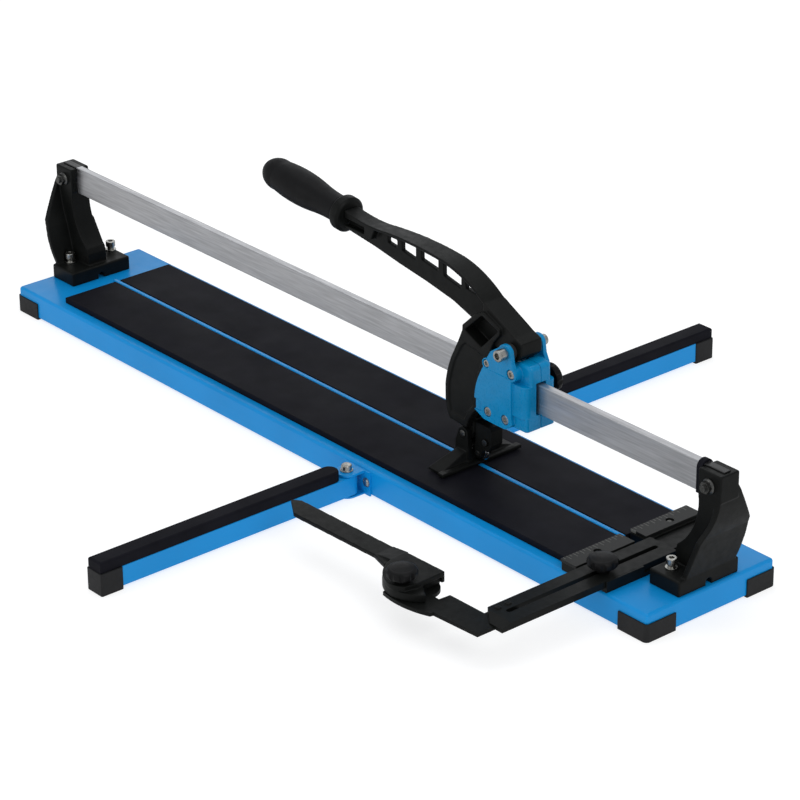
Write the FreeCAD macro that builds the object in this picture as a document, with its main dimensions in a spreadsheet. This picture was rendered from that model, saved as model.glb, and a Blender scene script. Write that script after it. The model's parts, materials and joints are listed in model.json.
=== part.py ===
import FreeCAD, Part
import math
import os
import re

import Sketcher

# A rail tile cutter: a long pressed-steel base with rubber pads, a flat-bar rail between two end
# castings, a carriage on four ball bearings, a cutting and breaking lever, a sliding angle stop,
# and two folding side arms. Frame: +X along the rail, +Y across, +Z up, origin on the floor under
# the middle of the base. Millimetres.

DIMENSIONS = {
    # base
    "base_length": 1205,
    "base_width": 200,
    "base_top": 35,
    "base_bottom": 3,
    "base_gauge": 2,
    "base_bend": 4,
    "corner_leg": 46,
    "corner_height": 23,
    "corner_skin": 2,
    "pad_top": 42.7,
    "pad_outer": 85.4,
    "pad_inner": 4.1,
    "pad_far_end": -514.5,
    "pad_near_end": 462,
    "ridge_width": 6,
    # rail and end brackets
    "rail_top": 184,
    "rail_depth": 36.5,
    "rail_gauge": 10,
    "rail_half": 620,
    "bracket_end": 625,
    "bracket_seat": 54,
    "bracket_inner": 551,
    "bracket_outer": 598,
    "bracket_half": 47,
    "head_inner": 590,
    "head_half": 14.5,
    "head_top": 182.5,
    "rail_bolt_x": 607,
    "rail_bolt_z": 166,
    # fence and its slide arm
    "fence_far": 464.5,
    "fence_near": 537.7,
    "fence_half": 98.6,
    "fence_top": 48.5,
    "ruler_gauge": 3.5,
    "ruler_width": 25,
    "channel_far": 491.5,
    "channel_near": 535.4,
    "arm_inner_end": 13,
    "arm_outer_end": -252,
    "arm_underside": 43,
    "slot_centre": 513,
    "slot_radius": 3.25,
    "lock_y": -82,
    # angle stop
    "stop_x": 397.5,
    "stop_y": -249.5,
    "stop_turn": 1.9,
    "stop_disc": 42.5,
    "stop_bottom": 43.3,
    "stop_step": 53,
    "stop_top": 59,
    "stop_knob_x": 0.5,
    "stop_knob_y": -28,
    # clamp knobs
    "knob_radius": 18,
    "knob_head": 11,
    "knob_hub": 8.5,
    "knob_neck": 6,
    "stud_radius": 3,
    # side arms
    "swing_x": 110,
    "swing_y": -118,
    "tube_size": 25,
    "tube_bottom": 3.5,
    "tube_wall": 1.8,
    "side_arm_end": -488,
    "side_foot": 31,
    "side_pad_top": 42,
    # carriage
    "roller_radius": 11,
    "low_roller_radius": 13,
    "roller_gap": 0.3,
    "roller_width": 7,
    "axle_radius": 3.5,
    "axle_top_near": 298.3,
    "axle_top_far": 256.4,
    "axle_low_near": 288.8,
    "axle_low_far": 259,
    "plate_face": 27,
    "housing_face": 24,
    "housing_from": 297,
    "knob_seat": 21.2,
    "lug_inner": 22,
    "lug_outer": 27.5,
    "lug_radius": 11,
    "shell_near": 322,
    # lever
    "pivot_x": 289,
    "pivot_z": 219,
    "pivot_bolt": 5,
    "hub_radius": 13,
    "cheek_face": 20,
    "fork_half": 7,
    "grip_x": -27,
    "grip_z": 289,
    "grip_rise": 5.6,
    # breaker foot and cutting wheel
    "foot_pin_x": 205,
    "foot_pin_z": 83.5,
    "foot_half": 62.5,
    "foot_bottom": 44.7,
    "wheel_x": 222,
    "wheel_z": 60.5,
    "wheel_radius": 10.5,
    "wheel_half": 2.5,
    # fits
    "running_gap": 0.05,
    "free_gap": 0.3,
}

X = FreeCAD.Vector(1, 0, 0)
Y = FreeCAD.Vector(0, 1, 0)
Z = FreeCAD.Vector(0, 0, 1)
ORIGIN = FreeCAD.Vector(0, 0, 0)
AXIS = {"x": X, "y": Y, "z": Z}
PLANES = {
    "XY": ("z", FreeCAD.Rotation()),
    "XZ": ("y", FreeCAD.Rotation(X, 90)),
    "YZ": ("x", FreeCAD.Rotation(Y, Z, X, "XYZ")),
}

doc = FreeCAD.newDocument("tile_cutter")
sheet = doc.addObject("Spreadsheet::Sheet", "Dims")
for row, (alias, size) in enumerate(DIMENSIONS.items(), start=1):
    sheet.set("A%d" % row, alias)
    sheet.set("B%d" % row, str(size))
    sheet.setAlias("B%d" % row, alias)
doc.recompute()

PARTS = {}


# ---------------------------------------------------------------- modelling helpers

def bound(text):
    """An expression on the sheet's aliases, written the way FreeCAD reads it."""
    return re.sub(r"[a-z]\w*_\w+", lambda word: "Dims." + word.group(), str(text))


def number(text):
    """The value of an expression now."""
    return float(sheet.evalExpression(bound(text)))


def bind(thing, **sizes):
    """Bind properties to expressions; a double underscore stands for a dot."""
    for name, text in sizes.items():
        thing.setExpression(name.replace("__", "."), bound(text))
    return thing


def place(thing, at, rotation):
    """Turn a thing and bind its position."""
    thing.Placement = FreeCAD.Placement(ORIGIN, rotation)
    return bind(thing, Placement__Base__x=at[0], Placement__Base__y=at[1], Placement__Base__z=at[2])


def box(name, x, y, z):
    """A block between low and high expressions on each axis."""
    block = doc.addObject("Part::Box", name)
    spans = ["(%s) - (%s)" % (high, low) for low, high in (x, y, z)]
    bind(block, Length=spans[0], Width=spans[1], Height=spans[2])
    return place(block, (x[0], y[0], z[0]), FreeCAD.Rotation())


def rod(name, at, along, radius, length):
    """A cylinder from `at` in the direction `along`."""
    cylinder = doc.addObject("Part::Cylinder", name)
    bind(cylinder, Radius=radius, Height=length)
    return place(cylinder, at, FreeCAD.Rotation(Z, along))


def hexagon(name, at, along, across_flats, length):
    """A hexagonal bar from `at` in the direction `along`."""
    bar = doc.addObject("Part::Prism", name)
    bar.Polygon = 6
    bind(bar, Circumradius="(%s) / sqrt(3)" % across_flats, Height=length)
    return place(bar, at, FreeCAD.Rotation(Z, along))


def outline(name, points):
    """A closed sketch through (u, v) points; ("via", u, v) bends the side it stands in."""
    sketch = doc.addObject("Sketcher::SketchObject", name)
    count = len(points)
    sides = []
    for i, point in enumerate(points):
        if point[0] == "via":
            continue
        after = points[(i + 1) % count]
        if after[0] == "via":
            sides.append((point, after[1:], points[(i + 2) % count]))
        else:
            sides.append((point, None, after))
    ends = []
    for start, middle, stop in sides:
        first, last = (FreeCAD.Vector(number(p[0]), number(p[1]), 0) for p in (start, stop))
        if middle is None:
            sketch.addGeometry(Part.LineSegment(first, last), False)
            ends.append((1, 2))
            continue
        bend = FreeCAD.Vector(number(middle[0]), number(middle[1]), 0)
        sketch.addGeometry(Part.Arc(first, bend, last), False)
        anticlockwise = (bend - first).cross(last - bend).z > 0
        ends.append((1, 2) if anticlockwise else (2, 1))
    for i, (start, _, _) in enumerate(sides):
        before = i - 1 if i else len(sides) - 1
        sketch.addConstraint(Sketcher.Constraint("Coincident", before, ends[before][1], i, ends[i][0]))
        for kind, text in (("DistanceX", start[0]), ("DistanceY", start[1])):
            pin = Sketcher.Constraint(kind, -1, 1, i, ends[i][0], number(text))
            index = sketch.addConstraint(pin)
            if re.search("[a-z]", str(text)):
                sketch.setExpression("Constraints[%d]" % index, bound(text))
    return sketch


def prism(name, plane, points, low, high, about=None):
    """Extrude an outline between low and high; `about` is an (x, y, degrees) frame for XY outlines."""
    axis, rotation = PLANES[plane]
    sketch = outline(name + "_outline", points)
    at = {"x": 0, "y": 0, "z": 0}
    at[axis] = low
    if about:
        at["x"], at["y"] = about[:2]
        rotation = FreeCAD.Rotation(Z, number(about[2]))
    place(sketch, (at["x"], at["y"], at["z"]), rotation)
    solid = doc.addObject("Part::Extrusion", name)
    solid.Base = sketch
    solid.DirMode = "Custom"
    solid.Dir = AXIS[axis]
    solid.Solid = True
    return bind(solid, LengthFwd="(%s) - (%s)" % (high, low))


def spin(name, at, along, profile):
    """Turn a closed profile of (radius, distance) points about the line through `at`."""
    sketch = place(outline(name + "_profile", profile), at, FreeCAD.Rotation(Y, along))
    turned = doc.addObject("Part::Revolution", name)
    turned.Source = sketch
    turned.Axis = along
    turned.Angle = 360
    turned.Solid = True
    return bind(turned, Base__x=at[0], Base__y=at[1], Base__z=at[2])


def fuse(name, *solids):
    joined = doc.addObject("Part::MultiFuse", name)
    joined.Shapes = list(solids)
    joined.Refine = True
    return joined


def cut(name, base, *tools):
    """Base without its tools, which are fused first when there are several."""
    carved = doc.addObject("Part::Cut", name)
    carved.Base = base
    carved.Tool = tools[0] if len(tools) == 1 else group(name + "_tools", *tools)
    carved.Refine = True
    return carved


def common(name, first, second):
    shared = doc.addObject("Part::MultiCommon", name)
    shared.Shapes = [first, second]
    return shared


def group(name, *solids):
    """Separate solids kept as one object."""
    bundle = doc.addObject("Part::Compound", name)
    bundle.Links = list(solids)
    return bundle


def mirror(name, source, normal):
    copy = doc.addObject("Part::Mirroring", name)
    copy.Source = source
    copy.Normal = normal
    return copy


def rounded(name, base, radius, wanted):
    """Fillet the edges that `wanted` picks."""
    doc.recompute()
    picked = [i for i, edge in enumerate(base.Shape.Edges, start=1) if wanted(edge)]
    size = number(radius)
    fillet = doc.addObject("Part::Fillet", name)
    fillet.Base = base
    fillet.Edges = [(i, size, size) for i in picked]
    return fillet


def runs_along(edge, direction):
    """Is the edge straight and parallel to the direction?"""
    ends = [vertex.Point for vertex in edge.Vertexes]
    if len(ends) < 2 or abs((ends[1] - ends[0]).Length - edge.Length) > 0.001:
        return False
    return abs((ends[1] - ends[0]).normalize().dot(direction)) > 0.999


def at_height(edge, level):
    """Does the whole edge lie at one height?"""
    span = edge.BoundBox
    return abs(span.ZMin - level) < 0.01 and abs(span.ZMax - level) < 0.01


def node(label, solid):
    """Record a finished sub-part under the name its file gets."""
    solid.Label = label
    PARTS[label] = solid
    return solid


# ---------------------------------------------------------------- base

def base_pan():
    """Sheet-steel channel, open underneath, holed for the bracket bolts."""
    half_l, half_w = "base_length / 2", "base_width / 2"
    blank = box("pan_blank", ("-" + half_l, half_l), ("-" + half_w, half_w), ("base_bottom", "base_top"))
    top = number("base_top")
    bent = rounded("pan_bent", blank, "base_bend", lambda e: runs_along(e, Z) or at_height(e, top))
    inside = box("pan_inside", ("-base_length / 2 + base_gauge", "base_length / 2 - base_gauge"),
                 ("-base_width / 2 + base_gauge", "base_width / 2 - base_gauge"),
                 ("base_bottom - 1", "base_top - base_gauge"))
    holes = [rod("pan_hole", (x, y, "base_top - 5"), Z, 4.2, 10) for x, y in BRACKET_BOLTS]
    node("base_pan", cut("base_pan", bent, inside, *holes))


def cross_members():
    """Three folded stiffeners under the pan's top."""
    members = []
    for x in (-380, 0, 380):
        skin = box("member_skin", (x - 20, x + 20), ("-base_width / 2 + base_gauge", "base_width / 2 - base_gauge"),
                   (13, "base_top - base_gauge"))
        hollow = box("member_hollow", (x - 18, x + 18), ("-base_width / 2", "base_width / 2"),
                     (12, "base_top - 2 * base_gauge"))
        members.append(cut("member", skin, hollow))
    node("cross_members", group("cross_members", *members))


def corner_foot(label, end, side):
    """L-shaped guard with a sole, wrapping one corner of the pan."""
    def along(near, far):
        low, high = ("(%s)" % near, "(%s)" % far)
        return (low, high) if end > 0 else ("-" + high, "-" + low)

    def across(near, far):
        low, high = ("(%s)" % near, "(%s)" % far)
        return (low, high) if side > 0 else ("-" + high, "-" + low)

    block = box(label + "_block", along("base_length / 2 + corner_skin - corner_leg", "base_length / 2 + corner_skin"),
                across("base_width / 2 + corner_skin - corner_leg", "base_width / 2 + corner_skin"),
                (0, "corner_height"))
    corner_x = end * number("base_length / 2 + corner_skin")
    corner_y = side * number("base_width / 2 + corner_skin")

    def outer(edge):
        middle = edge.CenterOfMass
        return runs_along(edge, Z) and abs(middle.x - corner_x) < 1 and abs(middle.y - corner_y) < 1

    soft = rounded(label + "_soft", block, "base_bend + corner_skin", outer)
    room = box(label + "_room", along("base_length / 2 - 2 * corner_leg", "base_length / 2"),
               across("base_width / 2 - 2 * corner_leg", "base_width / 2"), ("base_bottom", "corner_height + 1"))
    node(label, cut(label, soft, room))


def deck():
    """Two rubber pads and the ridge that the tile breaks over."""
    for label, side in (("front_pad", -1), ("rear_pad", 1)):
        span = ("-pad_outer", "-pad_inner") if side < 0 else ("pad_inner", "pad_outer")
        slab = box(label + "_slab", ("pad_far_end", "pad_near_end"), span, ("base_top", "pad_top"))
        top = number("pad_top")
        node(label, rounded(label, slab, 0.8, lambda e: at_height(e, top)))
    ridge = box("ridge_bar", ("pad_far_end - 6", "pad_near_end"), ("-ridge_width / 2", "ridge_width / 2"),
                ("base_top", "pad_top"))
    top = number("pad_top")
    node("breaking_ridge", rounded("breaking_ridge", ridge, 1.5, lambda e: at_height(e, top) and runs_along(e, X)))


# ---------------------------------------------------------------- rail and end brackets

BRACKET_BOLTS = [(567, -28), (567, 30), (-588, -24.5), (-586, 41)]


def end_bracket():
    """Cast post: a leaning outer wall, a middle column, a slotted head and a bolted foot."""
    lean = [("bracket_end - 7", 170), ("bracket_end", 170), ("bracket_end", 158), ("via", 621.5, 133), (612, 104),
            ("bracket_outer", "bracket_seat"), ("bracket_outer", 36), ("bracket_outer - 7", 36),
            ("bracket_outer - 7", "bracket_seat"), (605, 104), ("via", 614.5, 133), ("bracket_end - 7", 158)]
    face = [(-14.5, 165), (-14.5, 150), ("via", -17.5, 126), (-29, 100), (-37, 54), (-37, 36), (42, 36), (42, 54),
            ("via", 46.5, 85), (44, 113), ("via", 33, 131), (19.5, 156), (14.5, 165)]
    wall = common("bracket_wall", prism("wall_lean", "XZ", lean, -60, 60), prism("wall_face", "YZ", face, 560, 640))
    column = prism("bracket_column", "XZ",
                   [("head_inner", 155), ("via", 584, 106), (561, 77), (559, 70), (559, 50), (596, 50), (606, 104),
                    (620, 155)], "-head_half", "head_half")
    head = box("bracket_head_block", ("head_inner", "bracket_end"), ("-head_half", "head_half"), (150, "head_top"))
    head_top = number("head_top")
    head = rounded("bracket_head", head, 1.5, lambda e: at_height(e, head_top) or runs_along(e, Z))
    seat_block = box("bracket_seat_block", ("bracket_inner", "bracket_outer"), ("-bracket_half", "bracket_half"),
                     ("base_top", "bracket_seat"))
    top = number("bracket_seat")
    seat = rounded("bracket_seat_soft", seat_block, 2, lambda e: runs_along(e, Z) or at_height(e, top))
    body = fuse("bracket_body", wall, column, head, seat)
    slot = box("bracket_slot", ("head_inner - 5", "rail_half + 0.3"),
               ("-rail_gauge / 2 - 0.05", "rail_gauge / 2 + 0.05"), ("rail_top - rail_depth", 200))
    notch = prism("bracket_notch", "YZ", [(-4.5, 30), (4.5, 30), (4.5, 40), ("via", 0, 43.5), (-4.5, 40)], 540, 610)
    cross_bolt = rod("bracket_cross_hole", ("rail_bolt_x", -30, "rail_bolt_z"), Y, 4.2, 60)
    return body, (slot, notch, cross_bolt)


def brackets():
    body, openings = end_bracket()
    near_holes = [rod("near_hole", (x, y, 30), Z, 4.2, 30) for x, y in BRACKET_BOLTS if x > 0]
    node("near_bracket", cut("near_bracket", body, *openings, *near_holes))
    plain = cut("far_bracket_plain", body, *openings)
    turned = mirror("far_bracket_turned", mirror("far_bracket_flip", plain, X), Y)
    far_holes = [rod("far_hole", (x, y, 30), Z, 4.2, 30) for x, y in BRACKET_BOLTS if x < 0]
    far_holes += [rod("far_spot_face", (x, y, "bracket_seat"), Z, 8, 16) for x, y in BRACKET_BOLTS if x < 0]
    node("far_bracket", cut("far_bracket", turned, *far_holes))


def rail():
    """Flat guide bar, drilled for a cross bolt at each end."""
    bar = box("rail_bar", ("-rail_half", "rail_half"), ("-rail_gauge / 2", "rail_gauge / 2"),
              ("rail_top - rail_depth", "rail_top"))
    soft = rounded("rail_soft", bar, 1, lambda e: runs_along(e, X))
    holes = [rod("rail_hole", (x, -10, "rail_bolt_z"), Y, 4.2, 20) for x in ("-rail_bolt_x", "rail_bolt_x")]
    node("guide_rail", cut("guide_rail", soft, *holes))


def flange_head(name, at, along):
    """Hexagon with a round flange under it and a short threaded end."""
    flange = spin(name + "_flange", at, along, [(0, 0), (9, 0), (9, 1.4), (7, 3), (0, 3)])
    flats = hexagon(name + "_flats", at, along, 13, 8)
    tip = rod(name + "_tip", at, along, 4, 11)
    return fuse(name, flange, flats, tip)


def fasteners():
    """Cross bolts through the rail, and the bolts that hold the brackets down."""
    bolts = []
    for i, x in enumerate(("rail_bolt_x", "-rail_bolt_x")):
        shank = rod("cross_shank", (x, "-head_half", "rail_bolt_z"), Y, 4, "2 * head_half")
        front = flange_head("cross_head_%d" % i, (x, "-head_half", "rail_bolt_z"), -Y)
        rear = flange_head("cross_nut_%d" % i, (x, "head_half", "rail_bolt_z"), Y)
        bolts.append(fuse("cross_bolt", shank, front, rear))
    node("rail_bolts", group("rail_bolts", *bolts))
    bolts = []
    for x, y in BRACKET_BOLTS:
        washer = spin("seat_washer", (x, y, "bracket_seat"), Z, [(0, 0), (7.5, 0), (7.5, 1.5), (0, 1.5)])
        head = spin("seat_head", (x, y, "bracket_seat"), Z,
                    [(0, 1.5), (4.5, 1.5), (4.5, 5), (6.5, 5.5), (6.5, 12.5), (6, 13), (0, 13)])
        socket = hexagon("seat_socket", (x, y, "bracket_seat + 8"), Z, 6, 8)
        shank = rod("seat_shank", (x, y, "base_top - base_gauge - 8"), Z, 4, "bracket_seat - base_top + 12")
        nut = hexagon("seat_nut", (x, y, "base_top - base_gauge"), -Z, 13, 6.5)
        bolts.append(fuse("seat_bolt", washer, cut("seat_cap", head, socket), shank, nut))
    node("bracket_bolts", group("bracket_bolts", *bolts))


def bumper():
    """Rubber buffer over the rail, where the carriage would meet the near bracket."""
    ring = prism("bumper_ring", "YZ", [(-9.5, 147.5), (9.5, 147.5), (9.5, 178), ("via", 0, 187.5), (-9.5, 178)],
                 "head_inner - 8", "head_inner")
    window = box("bumper_window", ("head_inner - 9", "head_inner + 1"), ("-rail_gauge / 2", "rail_gauge / 2"),
                 ("rail_top - rail_depth - 2", "rail_top"))
    node("rail_bumper", cut("rail_bumper", ring, window))


# ---------------------------------------------------------------- fence, slide arm and angle stop

def lobed_knob(label, at, along, stud_from, stud_to, bore=None):
    """Nine-lobed clamp knob on a hub, with its threaded stud."""
    head = spin(label + "_disc", at, along,
                [(0, 0), ("knob_hub", 0), ("knob_hub - 0.7", "knob_neck"), ("knob_radius - 1.5", "knob_neck"),
                 ("knob_radius", "knob_neck + 2"), ("knob_radius", "knob_neck + knob_head - 5"),
                 ("via", "knob_radius - 1.6", "knob_neck + knob_head - 2"),
                 ("knob_radius - 5", "knob_neck + knob_head - 0.6"),
                 ("via", "knob_radius / 2", "knob_neck + knob_head + 0.4"), (1, "knob_neck + knob_head + 1"),
                 (0, "knob_neck + knob_head + 1")])
    turn = FreeCAD.Rotation(Z, along)
    flutes = []
    for i in range(9):
        angle = 2 * math.pi * i / 9
        reach = turn.multVec(FreeCAD.Vector(math.cos(angle), math.sin(angle), 0))
        start = [("%s + (%.6f) * (knob_radius + 2.9) + (%.1f)" % (at[k], reach[k], along[k])) for k in range(3)]
        flutes.append(rod(label + "_flute", start, along, 4.5, 30))
    stud_at = [("%s + (%.1f) * (%s)" % (at[k], along[k], stud_from)) for k in range(3)]
    stud = rod(label + "_stud", stud_at, along, "stud_radius", "(%s) - (%s)" % (stud_to, stud_from))
    return node(label, fuse(label, cut(label + "_lobes", head, *flutes), stud))


def fence():
    """Cast fence block across the base, with a channel for the slide arm, and two ruler strips."""
    block = box("fence_blank", ("fence_far", "fence_near"), ("-fence_half", "fence_half"), ("base_top", "fence_top"))
    rim = "fence_top + 1"
    seat = box("fence_ruler_seat", ("fence_far - 1", "channel_far"), ("-100", "100"), ("fence_top - ruler_gauge", rim))
    shallow = box("fence_shallow", ("channel_far", 521.7), ("-100", "100"), ("arm_underside - 0.2", rim))
    deep = box("fence_deep", (521.7, "channel_near"), ("-100", "100"), (40, rim))
    open_side = box("fence_open_side", ("channel_near", "fence_near + 1"), (-41.3, 100), (40, rim))
    gap = box("fence_gap", ("fence_far - 1", 489), (-7.5, 7.5), ("base_top - 1", rim))
    stud = rod("fence_stud_hole", ("slot_centre", "lock_y", 30), Z, "stud_radius + running_gap", 30)
    screws = [rod("fence_screw_hole", (477, y, 37), Z, 2.1, 12) for y in RULER_SCREWS]
    node("fence_block", cut("fence_block", block, seat, shallow, deep, open_side, gap, stud, *screws))
    for label, span in (("front_ruler", (-99, -7.5)), ("rear_ruler", (10, 99))):
        strip = box(label + "_strip", ("fence_far - 1.5", "fence_far - 1.5 + ruler_width"), span,
                    ("fence_top - ruler_gauge", "fence_top"))
        holes = [rod(label + "_hole", (477, y, 40), Z, 5, 20) for y in RULER_SCREWS if span[0] < y < span[1]]
        node(label, cut(label, strip, *holes))
    screws = []
    for y in RULER_SCREWS:
        screws.append(spin("ruler_screw", (477, y, "fence_top - ruler_gauge"), Z,
                           [(0, -7), (2, -7), (2, 0), (4.4, 0), (4.4, 1), ("via", 3, 2), (0.8, 2.4), (0, 2.4)]))
    node("ruler_screws", group("ruler_screws", *screws))


RULER_SCREWS = (-55, 58.5)


def slide_arm():
    """Slotted bar with a stiffening flange, sliding in the fence channel."""
    plate = box("arm_plate", ("channel_far + free_gap", "channel_near - free_gap"), ("arm_outer_end", "arm_inner_end"),
                ("arm_underside", "fence_top"))
    flange = box("arm_flange", ("521.7 + free_gap", "channel_near - free_gap"), ("arm_outer_end", "arm_inner_end"),
                 ("40.2", "arm_underside"))
    slot = prism("arm_slot", "XY",
                 [("slot_centre - slot_radius", -222), ("via", "slot_centre", "-222 - slot_radius"),
                  ("slot_centre + slot_radius", -222), ("slot_centre + slot_radius", 0),
                  ("via", "slot_centre", "slot_radius"), ("slot_centre - slot_radius", 0)], 35, 60)
    rivets = [rod("arm_rivet_hole", (x, y, 30), Z, 2.5, 30) for x, y in LINK_RIVETS]
    ramp = prism("arm_ramp", "YZ", [("arm_outer_end - 1", 44.5), ("arm_outer_end + 14", "fence_top"),
                                    ("arm_outer_end + 14", "fence_top + 2"), ("arm_outer_end - 1", "fence_top + 2")],
                 480, 545)
    corner = prism("arm_corner", "XY", [(490, -233), (517, -253.5), (490, -253.5)], 35, 60)
    node("slide_arm", cut("slide_arm", fuse("arm_bar", plate, flange), slot, ramp, corner, *rivets))
    lobed_knob("slide_lock_knob", ("slot_centre", "lock_y", "fence_top + 0.2"), Z, -12, 8)


LINK_RIVETS = ((500.5, -212), (500.5, -227))


def arc_slot(reach, half, first, last):
    """Outline of a round-ended slot along an arc about the origin, between two bearings in degrees."""
    def at(radius, degrees):
        angle = math.radians(degrees)
        return "%.5f" % (radius * math.cos(angle)), "%.5f" % (radius * math.sin(angle))

    middle = (first + last) / 2
    tip = math.degrees(half / reach)
    return [at(reach + half, first), ("via",) + at(reach + half, middle), at(reach + half, last),
            ("via",) + at(reach, last + tip), at(reach - half, last), ("via",) + at(reach - half, middle),
            at(reach - half, first), ("via",) + at(reach, first - tip)]


def stop_link():
    """Flat L that carries the angle stop out from the end of the slide arm."""
    low, high = 38.4, "arm_underside"
    sheet_metal = prism("link_plate", "XY",
                        [(492.3, -204), (492.3, -239.5), (437, -240.5), (436, -256), (424, -256),
                         ("via", 416, -236), ("stop_x", -231), ("via", 379, -249), (379.7, -280), (382, -291),
                         ("via", 426, -292), (453.5, -284), (454, -280), (521.5, -275.5), (521.5, -204)],
                        low, high)
    pin = rod("link_pin_hole", ("stop_x", "stop_y", 30), Z, 3.05, 30)
    rivet_holes = [rod("link_rivet_hole", (x, y, 30), Z, 2.5, 30) for x, y in LINK_RIVETS]
    arc = prism("link_arc", "XY", arc_slot(number("sqrt(stop_knob_x ^ 2 + stop_knob_y ^ 2)"), 3.4, 250, 318),
                30, 50, ("stop_x", "stop_y", 0))
    node("stop_link", cut("stop_link", sheet_metal, pin, *rivet_holes, arc))
    rivets = [spin("link_rivet", (x, y, "fence_top"), Z,
                   [(0, -10), (2.5, -10), (2.5, 0), (4.2, 0), (3.4, 1.4), (0, 1.8)]) for x, y in LINK_RIVETS]
    node("link_rivets", group("link_rivets", *rivets))


def angle_stop():
    """Swivelling head with a skirt and a long straight stop blade."""
    about = ("stop_x", "stop_y", "stop_turn")
    disc = "stop_disc"
    low_disc = prism("stop_disc_low", "XY",
                     [("-" + disc, 0), ("via", "-stop_disc * 0.70711", "-stop_disc * 0.70711"), (0, "-" + disc),
                      ("via", "stop_disc * 0.5", "-stop_disc * 0.86603"), ("stop_disc * 0.82", "-stop_disc * 0.57236"),
                      (14, -10), (14, 16), (-40, 16)], "stop_bottom", "stop_step", about)
    head = prism("stop_head", "XY",
                 [(17.6, 20.5), (-45, 20.5), (-45, 0), ("via", -36, -22.6), (-13, -40.5), ("via", 2, -42.4), (14, -36),
                  (17.6, -22)], "stop_step", "stop_top", about)
    skirt = prism("stop_skirt", "XY", [(17.6, 20.5), (-45, 20.5), (-45, 16), (17.6, 16)], 46, "stop_step", about)
    blade = prism("stop_blade", "XY",
                  [(-44, 21.5), (-225, 21.5), (-236, 14), (-208, -6), (-70, -6), (-44, -14)], 51, 56, about)
    ramp = prism("stop_ramp", "XZ", [(-70, 55.9), (-44, 55.9), (-44, 59)], -6, 20.5)
    place(ramp.Base, ("stop_x", "stop_y - 6", 0), FreeCAD.Rotation(X, 90))
    edge = prism("stop_blade_edge", "XY", [(-44, 21.5), (-225, 21.5), (-225, 17.5), (-44, 17.5)], 47, 51, about)
    stop = fuse("stop_body", low_disc, head, skirt, blade, ramp, edge)
    pin = rod("stop_pin_hole", ("stop_x", "stop_y", 30), Z, 3.05, 22.5)
    bolt_at = KNOB2_AT
    bolt = rod("stop_bolt_hole", (bolt_at[0], bolt_at[1], 30), Z, 3.1, 40)
    node("angle_stop", cut("angle_stop", stop, pin, bolt))
    pin = spin("stop_pin", ("stop_x", "stop_y", 38.4), Z, [(0, -1.2), (5, -1.2), (5, 0), (3, 0), (3, 14), (0, 14)])
    node("stop_pivot_pin", pin)
    lobed_knob("stop_lock_knob", (bolt_at[0], bolt_at[1], "stop_top + 0.1"), Z, -23, 8)


turned = math.radians(DIMENSIONS["stop_turn"])
KNOB2_AT = ("stop_x + stop_knob_x * %.6f - stop_knob_y * %.6f" % (math.cos(turned), math.sin(turned)),
            "stop_y + stop_knob_x * %.6f + stop_knob_y * %.6f" % (math.sin(turned), math.cos(turned)))


# ---------------------------------------------------------------- side arms

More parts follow.
